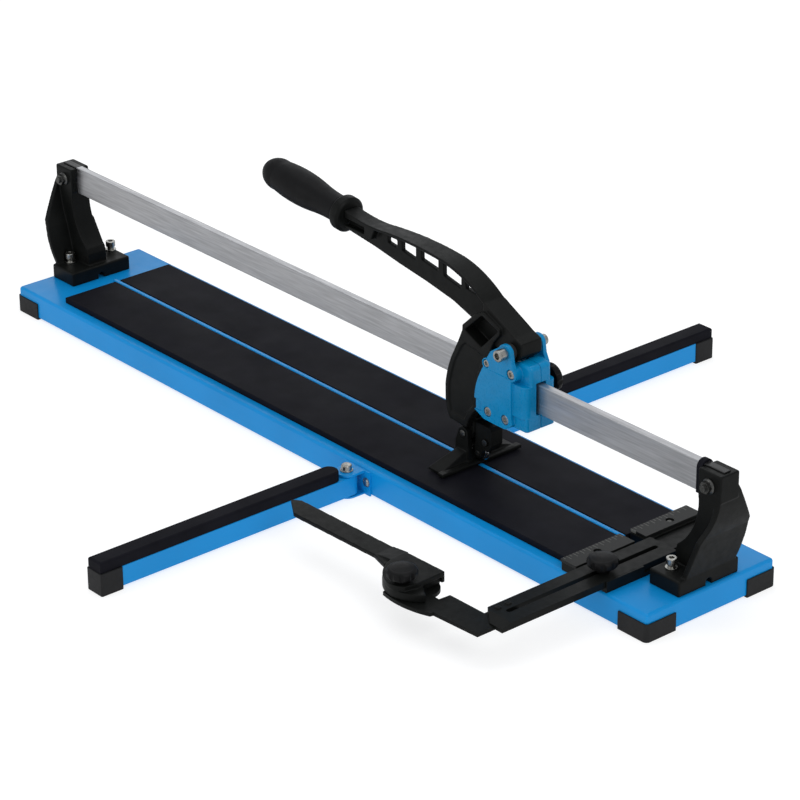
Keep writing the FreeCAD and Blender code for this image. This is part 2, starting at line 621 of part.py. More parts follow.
def side_arm():
    """The front arm's pieces; the rear arm mirrors them."""
    half = "tube_size / 2"
    low, high = "tube_bottom", "tube_bottom + tube_size"
    tube = box("tube_outside", ("swing_x - tube_size / 2", "swing_x + tube_size / 2"), ("side_arm_end + 2", "swing_y"),
               (low, high))
    nose = rod("tube_nose", ("swing_x", "swing_y", low), Z, half, "tube_size")
    inside = box("tube_inside", ("swing_x - tube_size / 2 + tube_wall", "swing_x + tube_size / 2 - tube_wall"),
                 ("side_arm_end", "swing_y - tube_size / 2"), ("tube_bottom + tube_wall", "tube_bottom + tube_size - tube_wall"))
    bore = rod("tube_bore", ("swing_x", "swing_y", 0), Z, "4 + running_gap", 40)
    trim = box("tube_trim", ("swing_x - 20", "swing_x + 20"), ("side_arm_end", "side_arm_end + side_foot"), (0, 35))
    tube = cut("front_arm_tube", fuse("tube_skin", tube, nose), inside, bore, trim)
    pad = prism("arm_pad_slab", "XY",
                [("swing_x - 11.8", "side_arm_end + 1"), ("swing_x + 11.8", "side_arm_end + 1"), ("swing_x + 11.8", -145),
                 ("via", "swing_x", -133.5), ("swing_x - 11.8", -145)], high, "side_pad_top")
    top = number("side_pad_top")
    pad = rounded("front_arm_pad", pad, 3, lambda e: at_height(e, top))
    shoe = box("arm_shoe", ("swing_x - tube_size / 2 - 1.5", "swing_x + tube_size / 2 + 1.5"),
               ("side_arm_end", "side_arm_end + side_foot"), (0, high))
    shoe = rounded("arm_shoe_soft", shoe, 2, lambda e: runs_along(e, Z))
    plug = box("arm_plug", ("swing_x - tube_size / 2 + tube_wall", "swing_x + tube_size / 2 - tube_wall"),
               ("side_arm_end + side_foot - 1", "side_arm_end + side_foot + 18"),
               ("tube_bottom + tube_wall", "tube_bottom + tube_size - tube_wall"))
    foot = fuse("front_arm_foot", shoe, plug)
    web = box("hinge_web", (86, 134), (-102.5, -100), (1, 32.3))
    ear_plan = [(96, -102), (124, -102), (124, "swing_y"), ("via", "swing_x", "swing_y - 14"), (96, "swing_y")]
    ears = [prism("hinge_ear_low", "XY", ear_plan, 1, 3), prism("hinge_ear_high", "XY", ear_plan, 29.1, 32.3)]
    pivot_hole = rod("hinge_hole", ("swing_x", "swing_y", 0), Z, 4, 40)
    screw_holes = [rod("hinge_screw_hole", (x, -110, 17.9), Y, 2.6, 12) for x in HINGE_SCREWS]
    bracket = cut("front_hinge_bracket", fuse("hinge_plate", web, *ears), pivot_hole, *screw_holes)
    bolt = spin("front_hinge_bolt", ("swing_x", "swing_y", 1), Z,
                [(0, 0), (4, 0), (4, 31.3), (8, 31.3), (8, 32.8), (6.5, 33), (6.5, 38.5), (5.5, 39.5), (0, 39.5)])
    screws = [spin("hinge_screw", (x, -102.5, 17.9), -Y,
                   [(0, -2.4), (2.5, -2.4), (2.5, 0), (6, 0), (6, 0.8), (4.8, 0.8), ("via", 3.4, 1.9), (1, 2.5), (0, 2.5)])
              for x in HINGE_SCREWS]
    return {"arm_tube": tube, "arm_pad": pad, "arm_foot": foot, "hinge_bracket": bracket, "hinge_bolt": bolt,
            "hinge_screws": group("front_hinge_screws", *screws)}


HINGE_SCREWS = (92, 128)


def side_arms():
    for name, piece in side_arm().items():
        node("front_" + name, piece)
        node("rear_" + name, mirror("rear_" + name, piece, Y))


# ---------------------------------------------------------------- carriage

def axle_places():
    """Axle centres and roller radii: two rollers run on top of the rail and two below it."""
    above = "rail_top + roller_radius + roller_gap"
    below = "rail_top - rail_depth - low_roller_radius - roller_gap"
    return {"upper_near": ("axle_top_near", above, "roller_radius"), "upper_far": ("axle_top_far", above, "roller_radius"),
            "lower_near": ("axle_low_near", below, "low_roller_radius"),
            "lower_far": ("axle_low_far", below, "low_roller_radius")}


def carriage_shell(label, side):
    """One cast half: side plate, lug for the lever, and a stepped housing with a dome at the near end."""
    def across(inner, outer):
        return (inner, outer) if side > 0 else ("-(%s)" % outer, "-(%s)" % inner)

    def to_side(points):
        return [p[:-1] + (side * p[-1],) for p in points]

    plate = prism(label + "_plate", "XZ",
                  [(299.7, 139), (299.7, 186), (305, 188.6), ("via", 307.6, 197), (298.3, 204.4), (262, 204.4),
                   (258.2, 203.8), (254, 195.5), (245.5, 179.4), ("via", 239.2, 163.8), (236.1, 146.5), (236.5, 130.4),
                   (253, 122.8), (271, 122.4), (289.4, 122.2), (298.4, 127.8), (302, 132)],
                  *across("0.2", "plate_face"))
    lug = prism(label + "_lug", "XZ",
                [(279.2, 224), ("via", "pivot_x + 1.5", "pivot_z + lug_radius - 0.1"), ("pivot_x + lug_radius", "pivot_z"),
                 (301.5, 209), (306, 200), (300, 190), (262, 190), (254, 195.5), (258.2, 203.8), (264.5, 213.9)],
                *across("lug_inner", "lug_outer"))
    ear = rod(label + "_ear", ("axle_top_far", "-plate_face" if side < 0 else "22", above_rail()), Y, 6.8,
              "plate_face - 22")
    upper = prism(label + "_housing", "XY",
                  to_side([("housing_from", 0.2), ("shell_near", 0.2), ("shell_near", 16), ("via", 319.66, 21.66),
                           (314, 24), ("housing_from", 24)]), 143.5, 184)
    lower = prism(label + "_sill", "XY",
                  to_side([("housing_from - 5", 0.2), ("shell_near", 0.2), ("shell_near", 19), ("via", 321.1, 21.1),
                           (319, 22), ("housing_from - 5", 22)]), 127.5, 145)
    dome = prism(label + "_dome", "XZ",
                 [(288, 183), (288, 204.4), ("via", 294, 205.6), (300, 208.2), (305, 208.6), (315, 208),
                  ("via", 319.6, 206), (321.4, 202), (322, 183)], *across("0.2", "16"))
    dome = rounded(label + "_dome_soft", dome, 4,
                   lambda e: abs(abs(e.CenterOfMass.y) - 16) < 0.1 and e.CenterOfMass.z > 205.8)
    body = fuse(label + "_body", plate, lug, ear, upper, lower, dome)
    tunnel = box(label + "_tunnel", (230, 330), across("-1", "7.5"), ("rail_top - rail_depth - 2", "rail_top + 2"))
    openings = [tunnel]
    openings.append(rod(label + "_pivot_hole", ("pivot_x", -60, "pivot_z"), Y, "pivot_bolt + running_gap", 120))
    for name, (x, z, radius) in axle_places().items():
        start = "0" if side > 0 else "-6"
        openings.append(rod("%s_%s_pocket" % (label, name), (x, start, z), Y, radius + " + 0.6", 6))
        openings.append(rod("%s_%s_bore" % (label, name), (x, -60, z), Y, "axle_radius + running_gap", 120))
        face = "plate_face - 5" if side > 0 else "-plate_face - 10"
        openings.append(rod("%s_%s_sink" % (label, name), (x, face, z), Y, AXLE_HEADS[name] + 0.6, 14))
    recess = prism(label + "_recess", "XZ", [(230, 131), (248.5, 131), (248.5, 141), (245, 145), (230, 145)],
                   *across("24.6", "40"))
    openings.append(recess)
    if side > 0:
        openings.append(rod(label + "_knob_hole", (303, 0, 176), Y, "stud_radius + running_gap", 60))
        openings.append(rod(label + "_knob_seat", (303, "knob_seat", 176), Y, 9.5, 20))
    node(label, cut(label, body, *openings))


AXLE_HEADS = {"upper_near": 5.6, "upper_far": 4.6, "lower_near": 5.6, "lower_far": 5.6}


def above_rail():
    """Height of the upper axles."""
    return axle_places()["upper_far"][1]


def carriage():
    carriage_shell("carriage_front_shell", -1)
    carriage_shell("carriage_rear_shell", 1)
    bolts = []
    for name, (x, z, radius) in axle_places().items():
        roller = spin("roller_" + name, (x, "-roller_width / 2", z), Y,
                      [("axle_radius + running_gap", 0), (radius + " - 0.5", 0), (radius, 0.5),
                       (radius, "roller_width - 0.5"), (radius + " - 0.5", "roller_width"),
                       ("axle_radius + running_gap", "roller_width")])
        node("roller_" + name, roller)
        wide = AXLE_HEADS[name]
        head = spin("axle_head", (x, "-plate_face + 4", z), -Y,
                    [(0, "-2 * plate_face + 8"), ("axle_radius", "-2 * plate_face + 8"), ("axle_radius", 0), (wide, 0),
                     (wide, 2.9), (wide - 0.6, 3.4), (0, 3.4)])
        socket = hexagon("axle_socket", (x, "-plate_face + 2.2", z), -Y, 5, 4)
        nut = hexagon("axle_nut", (x, "plate_face - 5", z), Y, 1.7 * wide, 4)
        tip = rod("axle_tip", (x, "plate_face - 6", z), Y, "axle_radius", 5.5)
        bolts.append(fuse("axle_" + name, cut("axle_cap", head, socket), nut, tip))
    node("axle_bolts", group("axle_bolts", *bolts))
    lobed_knob("carriage_knob", ("303", "knob_seat + 0.3", "176"), Y, -15, 8)


# ---------------------------------------------------------------- lever

def lever():
    """Cast lever: a T-section arm out to the grip, a hub, and a fork that straddles the rail."""
    crest = [(-17, 298.5), ("via", 14, 293.6), (45, 293.4), ("via", 100, 296.2), (160, 293.4), ("via", 201, 284.6),
             (240, 263)]
    under = [(240, 259.5), ("via", 200, 281), (160, 290), ("via", 100, 292.8), (45, 290), ("via", 14, 290.2), (-17, 295)]
    plan = [(-17, -11), (58, -12), (150, -14.5), (305, -16), (305, 16), (150, 14.5), (58, 12), (-17, 11)]
    web_side = crest + [(246, 244), (232, 228), (205, 229), (172, 240), (124, 249), (76, 256), (30, 264), (-17, 270)]
    hub_side = [(238, 263.8), (240, 263), (292, 236.5), (305, 231.5), (305, 216), (298, 209),
                ("via", "pivot_x", "pivot_z - hub_radius"), (277, 213), (262, 214), (246, 222), (238, 240)]
    root_side = [(-17, 277), (-17, 297), (20, 291.5), (38, 291), (38, 287), (32, 275.5), (20, 275)]
    flange = prism("arm_flange_side", "XZ", crest + under, -30, 30)
    hub = prism("arm_hub_side", "XZ", hub_side, -30, 30)
    root = prism("arm_root_side", "XZ", root_side, -30, 30)
    wide = fuse("arm_wide_side", flange, hub, root)
    arm = fuse("arm_shape", common("arm_wide", wide, prism("arm_plan", "XY", plan, 150, 320)),
               prism("arm_web", "XZ", web_side, -3, 3))
    leg_side = [(207, 226), (206.5, 219), (199, 202), (187.4, 179), ("via", 180, 158), (176.5, 140), (176.8, 122),
                (179.3, 106), (184.6, 97.3), (214, 94.8), (217.5, 105), (224, 116), (232, 124), (234.2, 131),
                (233.9, 146), (237, 163.5), (244.3, 182), (251, 195.5), (255, 205), (258, 214), (262, 222), (272, 234),
                (272, 241), (243, 253.5), (228, 246)]
    leg = prism("leg_side", "XZ", leg_side, "-cheek_face", "cheek_face")
    tongue = prism("leg_tongue", "XZ",
                   [(190, 104), ("foot_pin_x - 9", "foot_pin_z"), ("via", "foot_pin_x", "foot_pin_z - 9"),
                    ("foot_pin_x + 9", "foot_pin_z - 2"), (217.5, 88), (217.5, 108), (190, 108)], -10, 10)
    body = fuse("lever_body", arm, leg, tongue)
    tools = [box("fork_gap", (160, 300), ("-fork_half", "fork_half"), (104, 208))]
    tools.append(rod("lever_pivot_bore", ("pivot_x", -40, "pivot_z"), Y, "pivot_bolt + running_gap", 80))
    tools.append(rod("lever_pin_bore", ("foot_pin_x", -40, "foot_pin_z"), Y, "3 + running_gap", 80))
    tools.append(box("lug_room", (272.5, 320), ("cheek_face - 4", 40), (180, 260)))
    tools.append(box("lug_room_front", (272.5, 320), (-40, "-cheek_face + 4"), (180, 260)))
    node("lever", carve_lever(body, tools))


ARM_HOLES = [((54, 277.5), (54, 285), (71, 285), (71, 275)),
             ((80, 275), (80, 286.5), (105, 286.5), (105, 270.5)),
             ((115, 274.5), (115, 285.5), (145, 284.5), (145, 269.5)),
             ((155, 266.5), (155, 283.5), (186, 276), (186, 260)),
             ((194, 263), (194, 272.8), (205, 268), (219, 260.6))]


def carve_lever(body, tools):
    """Windows through the web, a pocket by the grip, the arch pockets and sunk panels on the cheeks."""
    for i, corners in enumerate(ARM_HOLES):
        tools.append(prism("arm_hole_%d" % i, "XZ", list(corners), -40, 40))
    pocket = [(-25, 280), (-25, 289.5), (20, 288), (20, 279)]
    window = [(241, 248.6), (269.5, 238), (240, 208), (211, 221)]
    panel = [(213, 205), (206, 199), (193.5, 176), ("via", 187, 157), (183, 140), (183, 122), (187, 107), (210, 104.5),
             (217, 118), (226, 128), (228, 146), (231, 164), (238, 183), (245, 198)]
    for side in (-1, 1):
        for name, shape, inner, outer in (("collar_pocket", pocket, 3, 30), ("arch_window", window, 3, 30),
                                          ("cheek_panel", panel, 18.4, 30)):
            low, high = (inner, outer) if side > 0 else (-outer, -inner)
            tools.append(prism("%s_%d" % (name, side), "XZ", shape, low, high))
    return cut("lever", body, *tools)


def grip_parts():
    """Collar casting, rubber grip and the steel rod inside it."""
    slope = math.radians(number("grip_rise"))
    along = FreeCAD.Vector(-math.cos(slope), 0, math.sin(slope))
    at = ("grip_x", 0, "grip_z")
    collar = [(0, -8), (19, -8), (22.5, -5), (22.5, 5), (20, 8), (0, 8)]
    bore = rod("collar_bore", at, along, 6, 30)
    node("grip_collar", cut("grip_collar", spin("collar_body", at, along, collar), bore))
    sleeve = [(6, 8), (16.2, 8), (17, 10), ("via", 17.2, 29), (18.8, 48), ("via", 22.2, 88), (19.8, 124),
              ("via", 16.6, 142), (9, 151), ("via", 5.6, 153), (2, 153.6), (0, 153.6), (0, 134), (6, 134)]
    node("grip", spin("grip", at, along, sleeve))
    node("grip_rod", rod("grip_rod", at, along, "6", 133.5))


def pivot_parts():
    """Lever pivot bolt, its two bushings, and the breaker foot's pin."""
    at = ("pivot_x", "-lug_outer", "pivot_z")
    shank = spin("pivot_shank", at, -Y,
                 [(0, "-2 * lug_outer - 9"), ("pivot_bolt", "-2 * lug_outer - 9"), ("pivot_bolt", 0), (7.2, 0), (7.2, 11),
                  (6.4, 11.9), (0, 11.9)])
    socket = hexagon("pivot_socket", ("pivot_x", "-lug_outer - 6.5", "pivot_z"), -Y, 7.5, 10)
    nut = spin("pivot_nut", ("pivot_x", "lug_outer", "pivot_z"), Y,
               [("pivot_bolt", 0), (6.5, 0), (6.5, 7.6), (5.6, 8.5), ("pivot_bolt", 8.5)])
    node("pivot_bolt", fuse("pivot_bolt", cut("pivot_cap", shank, socket), nut))
    bushes = []
    for side in (-1, 1):
        start = "16.3" if side > 0 else "-lug_inner"
        bushes.append(cut("bush", rod("bush_body", ("pivot_x", start, "pivot_z"), Y, 9.5, "lug_inner - 16.3"),
                          rod("bush_bore", ("pivot_x", -40, "pivot_z"), Y, "pivot_bolt + running_gap", 80)))
    node("pivot_bushings", group("pivot_bushings", *bushes))
    pin = spin("foot_pin", ("foot_pin_x", -17.2, "foot_pin_z"), -Y,
               [(0, -34.4), (3, -34.4), (3, 0), (4.6, 0), (4.6, 0.8), (3.6, 1.4), (0, 1.4)])
    node("foot_pin", pin)


def breaker_foot():
    """Winged shoe on a cross pin, with a raised edge strip, that presses the scored tile over the ridge."""
    low = "foot_bottom"
    front = [(-58.5, low), (58.5, low), (58.5, 47.5), (17, 62), (-17, 62), (-58.5, 47.5)]
    slope = [(190, 40), (190, 47), (195, 62.5), (210.5, 62.5), (213, 49.5), (218, 49.5), (218, 40)]
    shoe = common("foot_shoe", prism("foot_wings", "YZ", front, 185, 222), prism("foot_slope", "XZ", slope, -70, 70))
    strip = box("foot_strip", (211, 221), ("-foot_half", "foot_half"), (low, 49))
    strip = rounded("foot_strip_soft", strip, 1.2, lambda e: runs_along(e, Y) and e.CenterOfMass.z > 48)
    ear_side = [(190.5, 50), (191.4, 72), (196.5, 86), ("via", 204.8, 92), (213, 84), (214.5, 62), (214.5, 50)]
    ears = [prism("foot_ear", "XZ", ear_side, *span) for span in ((-17, -10.3), (10.3, 17))]
    bridge = prism("foot_bridge", "XZ", [(191.2, 55), (191.6, 66), (195, 68.5), (196.5, 55)], -12, 12)
    notch = box("foot_notch", (205.5, 223), (-4, 4), (46.8, 64))
    bore = rod("foot_bore", ("foot_pin_x", -30, "foot_pin_z"), Y, "3 + running_gap", 60)
    node("breaker_foot", cut("breaker_foot", fuse("foot_body", shoe, strip, bridge, *ears), notch, bore))


def cutting_head():
    """Block under the lever's nose whose fork plates hold the scoring wheel on its axle."""
    holder = prism("holder_block", "XZ",
                   [(217.8, 101), (243, 101), (246.5, 97), (246.5, 78), (240, 68.5), (231, 67.5), (227.5, 60.5),
                    ("via", "wheel_x", "wheel_z - 5.5"), (216.5, 60.5), (216.5, 72), (217.8, 75)], -8.6, 8.6)
    room = box("wheel_room", (208, 236), ("-wheel_half - free_gap", "wheel_half + free_gap"),
               (40, "wheel_z + wheel_radius + 1"))
    axle_bore = rod("wheel_axle_bore", ("wheel_x", -12, "wheel_z"), Y, 2.5, 24)
    clamp_bore = rod("holder_clamp_bore", (236, -20, 80), Y, 2.5, 40)
    node("wheel_holder", cut("wheel_holder", holder, room, axle_bore, clamp_bore))
    wheel = spin("cutting_wheel", ("wheel_x", "-wheel_half", "wheel_z"), Y,
                 [("2.5 + running_gap", 0), (7, 0), (7, 1.2), ("wheel_radius - 1.5", 1.2), ("wheel_radius", "wheel_half"),
                  ("wheel_radius - 1.5", "2 * wheel_half - 1.2"), (7, "2 * wheel_half - 1.2"), (7, "2 * wheel_half"),
                  ("2.5 + running_gap", "2 * wheel_half")])
    node("cutting_wheel", wheel)
    axle = spin("wheel_axle", ("wheel_x", -8.6, "wheel_z"), -Y,
                [(0, -17.2), (2.5, -17.2), (2.5, 0), (3.6, 0), (3.6, 0.8), (0, 1)])
    clamp = spin("holder_screw", (236, -8.6, 80), -Y,
                 [(0, -17.2), (2.5, -17.2), (2.5, 0), (4.2, 0), (4.2, 2.6), (0, 3)])
    node("wheel_axle", axle)
    node("holder_screw", clamp)


# ---------------------------------------------------------------- build and write

def check_and_write():
    """Stop if any object failed or any sub-part is not a valid solid, then write the files."""
    doc.recompute()
    failed = [thing.Name for thing in doc.Objects if {"Invalid", "Error"} & set(thing.State)]
    if failed:
        raise SystemExit("failed objects: " + ", ".join(failed))
    os.makedirs("parts", exist_ok=True)
    for label, solid in PARTS.items():
        shape = solid.Shape
        if shape.isNull() or not shape.isValid() or not shape.Solids:
            raise SystemExit("bad shape: " + label)
        shape.exportStep("parts/%s.step" % label)
        box_size = shape.BoundBox
        print("%-24s %2d solids %10.0f mm3  x %.1f..%.1f  y %.1f..%.1f  z %.1f..%.1f" % (
            label, len(shape.Solids), shape.Volume, box_size.XMin, box_size.XMax, box_size.YMin, box_size.YMax,
            box_size.ZMin, box_size.ZMax))
    print(len(PARTS), "nodes")


base_pan()
cross_members()
for foot_label, foot_end, foot_side in (("corner_foot_near_front", 1, -1), ("corner_foot_near_rear", 1, 1),
                                        ("corner_foot_far_front", -1, -1), ("corner_foot_far_rear", -1, 1)):
    corner_foot(foot_label, foot_end, foot_side)
deck()
brackets()
rail()
fasteners()
bumper()
fence()
slide_arm()
stop_link()
angle_stop()
side_arms()
carriage()
lever()
grip_parts()
pivot_parts()
breaker_foot()
cutting_head()
check_and_write()
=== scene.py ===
import json
import math

import bmesh
import bpy
from mathutils import Matrix, Vector


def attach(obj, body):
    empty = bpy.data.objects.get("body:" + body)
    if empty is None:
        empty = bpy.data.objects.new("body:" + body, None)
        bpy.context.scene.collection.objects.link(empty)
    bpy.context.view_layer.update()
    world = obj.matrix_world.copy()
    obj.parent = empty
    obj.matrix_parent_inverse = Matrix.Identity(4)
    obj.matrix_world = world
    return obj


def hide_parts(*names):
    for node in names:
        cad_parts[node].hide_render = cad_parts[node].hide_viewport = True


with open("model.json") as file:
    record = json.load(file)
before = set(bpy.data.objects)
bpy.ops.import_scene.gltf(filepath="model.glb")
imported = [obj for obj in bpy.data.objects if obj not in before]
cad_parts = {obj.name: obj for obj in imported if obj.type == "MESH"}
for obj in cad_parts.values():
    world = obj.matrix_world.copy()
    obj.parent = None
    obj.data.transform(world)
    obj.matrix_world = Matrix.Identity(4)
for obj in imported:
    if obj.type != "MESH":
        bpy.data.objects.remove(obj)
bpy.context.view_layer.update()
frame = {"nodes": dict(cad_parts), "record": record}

NODES = frame["nodes"]
BODIES = frame["record"]["behaviour"]["bodies"]
BODY_OF = {node: body for body, members in BODIES.items() for node in members}
SLOT_OF = {entry["node"]: entry["material_slot"] for entry in frame["record"]["subparts"]}
MM = 0.001

CAMERA_TURN = (49.79, 25.46, -0.55)  # azimuth, elevation and roll in degrees
CAMERA_SHIFT = (44.93, 43.97, 4075.7)  # right, up and back from the middle of the base, in mm
CAMERA_LENS = 147.9

EDGE_SEGMENTS = 2
EDGE_ANGLE = math.radians(32)
FLAT_ANGLE = math.radians(0.4)
CAST_SHARE_KEPT = 0.3

RAIL_DARK_FROM = 0.5905  # metres from the middle to where the end castings grip the rail
MARK_WIDTH = 0.0005
MARK_ROWS = ((0.005, 0.4675), (0.010, 0.4715))  # pitch, and how far across a line reaches
MARK_STRENGTH = 0.55

FLOOR_HALF = 30
FLOOR_GLOW = 0.72
FLOOR_GLOW_HELD_BACK = 0.38  # from glossy rays, so that shiny parts don't turn white
LAMPS = (  # name, place, target, size in metres, power in watts
    ("key", (3.2, -0.6, 3.0), (0.1, 0, 0.1), (2.4, 2.4), 40),
    ("top", (-0.6, 0.4, 3.4), (0, 0, 0), (3.5, 2.0), 32),
    ("front", (-0.5, -3.6, 1.6), (0, 0, 0.1), (3.0, 1.6), 22),
    ("rim", (-3.4, 2.9, 2.1), (0, 0, 0.1), (3.2, 1.4), 14),
)


# ---------------------------------------------------------------- camera

def aim_camera():
    """A long lens, from the near right and above, with a slight roll."""
    azimuth, elevation, roll = (math.radians(angle) for angle in CAMERA_TURN)
    back = Vector((math.sin(azimuth) * math.cos(elevation),
                   -math.cos(azimuth) * math.cos(elevation),
                   math.sin(elevation)))
    right = Vector((math.cos(azimuth), math.sin(azimuth), 0))
    up = back.cross(right)
    tilted_right = right * math.cos(roll) + up * math.sin(roll)
    tilted_up = up * math.cos(roll) - right * math.sin(roll)
    data = bpy.data.cameras.new("camera")
    data.lens = CAMERA_LENS
    data.sensor_width = 36
    data.clip_start = 0.1
    data.clip_end = 50
    camera = bpy.data.objects.new("camera", data)
    bpy.context.scene.collection.objects.link(camera)
    shift_right, shift_up, shift_back = CAMERA_SHIFT
    place = (tilted_right * shift_right + tilted_up * shift_up + back * shift_back) * MM
    turn = Matrix((tilted_right, tilted_up, back)).transposed()
    camera.matrix_world = Matrix.Translation(place) @ turn.to_4x4()
    bpy.context.scene.camera = camera


# ---------------------------------------------------------------- materials

def linear(*rgb):
    """A linear colour from display values of 0 to 255."""
    out = []
    for value in rgb:
        value /= 255
        out.append(value / 12.92 if value <= 0.04045 else ((value + 0.055) / 1.055) ** 2.4)
    return (*out, 1)


class Surface:
    """A principled material built up from procedural layers in object space."""

    NOISE_LOW, NOISE_HIGH = 0.3, 0.7  # the part of a noise's range that is used
    MIX_FIRST, MIX_SECOND, MIX_RESULT = 6, 7, 2  # a mix node's sockets for colours

    def __init__(self, name, colour, rough, metal=0.0, coat=0.0, specular=0.5):
        self.material = bpy.data.materials.new(name)
        self.material.use_nodes = True
        self.tree = self.material.node_tree
        self.shader = self.tree.nodes["Principled BSDF"]
        self.colour = colour
        self.rough = rough
        self.shader.inputs["Base Color"].default_value = colour
        self.shader.inputs["Roughness"].default_value = rough
        self.shader.inputs["Metallic"].default_value = metal
        self.shader.inputs["Coat Weight"].default_value = coat
        self.shader.inputs["Coat Roughness"].default_value = 0.12
        self.shader.inputs["Specular IOR Level"].default_value = specular
        self.place = self.tree.nodes.new("ShaderNodeTexCoord").outputs["Object"]
        self.height = None

    def add(self, kind, **settings):
        """A node, with settings given by property name or by input name."""
        made = self.tree.nodes.new(kind)
        for key, value in settings.items():
            if hasattr(made, key):
                setattr(made, key, value)
            else:
                made.inputs[key].default_value = value
        return made

    def noise(self, scale, detail, stretch=(1, 1, 1)):
        """Noise with features about 1/scale metres across, drawn out where stretch is small."""
        spread = self.add("ShaderNodeMapping")
        spread.inputs["Scale"].default_value = stretch
        self.tree.links.new(self.place, spread.inputs["Vector"])
        made = self.add("ShaderNodeTexNoise", Scale=scale, Detail=detail, Roughness=0.5)
        self.tree.links.new(spread.outputs["Vector"], made.inputs["Vector"])
        return made.outputs["Fac"]

    def ranged(self, value, low, high):
        """The used part of a noise, mapped to a range."""
        made = self.add("ShaderNodeMapRange")
        made.inputs["From Min"].default_value = self.NOISE_LOW
        made.inputs["From Max"].default_value = self.NOISE_HIGH
        made.inputs["To Min"].default_value = low
        made.inputs["To Max"].default_value = high
        self.tree.links.new(value, made.inputs["Value"])
        return made.outputs["Result"]

    def mottle(self, value, amount):
        """Vary the colour between a darker and a lighter shade."""
        mix = self.add("ShaderNodeMix", data_type="RGBA")
        dark = [c * (1 - amount) for c in self.colour[:3]] + [1]
        light = [min(1, c * (1 + amount)) for c in self.colour[:3]] + [1]
        mix.inputs[self.MIX_FIRST].default_value = dark
        mix.inputs[self.MIX_SECOND].default_value = light
        self.tree.links.new(self.ranged(value, 0, 1), mix.inputs[0])
        self.tree.links.new(mix.outputs[self.MIX_RESULT], self.shader.inputs["Base Color"])
        return self

    def sheen_map(self, value, amount):
        """Vary the roughness."""
        out = self.ranged(value, self.rough - amount, self.rough + amount)
        self.tree.links.new(out, self.shader.inputs["Roughness"])
        return self

    def relief(self, value, depth, strength):
        """Add bumps of a depth in millimetres over the ones already there."""
        bump = self.add("ShaderNodeBump", Distance=depth * MM, Strength=strength)
        self.tree.links.new(value, bump.inputs["Height"])
        if self.height:
            self.tree.links.new(self.height, bump.inputs["Normal"])
        self.height = bump.outputs["Normal"]
        self.tree.links.new(self.height, self.shader.inputs["Normal"])
        return self

    def maths(self, operation, first, second=0.0):
        """The result of a maths node fed with sockets or numbers."""
        made = self.add("ShaderNodeMath", operation=operation)
        for slot, value in enumerate((first, second)):
            if isinstance(value, (int, float)):
                made.inputs[slot].default_value = value
            else:
                self.tree.links.new(value, made.inputs[slot])
        return made.outputs[0]

    def axes(self):
        """The object's X, Y and Z coordinates."""
        split = self.add("ShaderNodeSeparateXYZ")
        self.tree.links.new(self.place, split.inputs[0])
        return split.outputs

    def blend(self, mask, colour):
        """Paint a colour over the base where the mask is 1."""
        mix = self.add("ShaderNodeMix", data_type="RGBA")
        base = self.shader.inputs["Base Color"]
        if base.links:
            self.tree.links.new(base.links[0].from_socket, mix.inputs[self.MIX_FIRST])
        else:
            mix.inputs[self.MIX_FIRST].default_value = self.colour
        mix.inputs[self.MIX_SECOND].default_value = colour
        self.tree.links.new(mask, mix.inputs[0])
        self.tree.links.new(mix.outputs[self.MIX_RESULT], base)

    def dark_ends(self, start):
        """Blacken the bar past a distance from the middle, and take its metal shine off."""
        mask = self.maths("GREATER_THAN", self.maths("ABSOLUTE", self.axes()[0]), start)
        self.blend(mask, linear(20, 20, 20))
        shiny = self.maths("SUBTRACT", 1.0, mask)
        self.tree.links.new(shiny, self.shader.inputs["Metallic"])
        return self

    def scale_marks(self):
        """Ruler divisions: a short line every 5 mm and a longer one every 10 mm."""
        across, along, _ = self.axes()
        marks = []
        distance = self.maths("ABSOLUTE", along)
        for pitch, reach in MARK_ROWS:
            place = self.maths("FRACT", self.maths("DIVIDE", distance, pitch))
            line = self.maths("LESS_THAN", place, MARK_WIDTH / pitch)
            marks.append(self.maths("MULTIPLY", line, self.maths("LESS_THAN", across, reach)))
        mask = self.maths("MULTIPLY", self.maths("MAXIMUM", *marks), MARK_STRENGTH)
        self.blend(mask, linear(150, 150, 145))
        return self


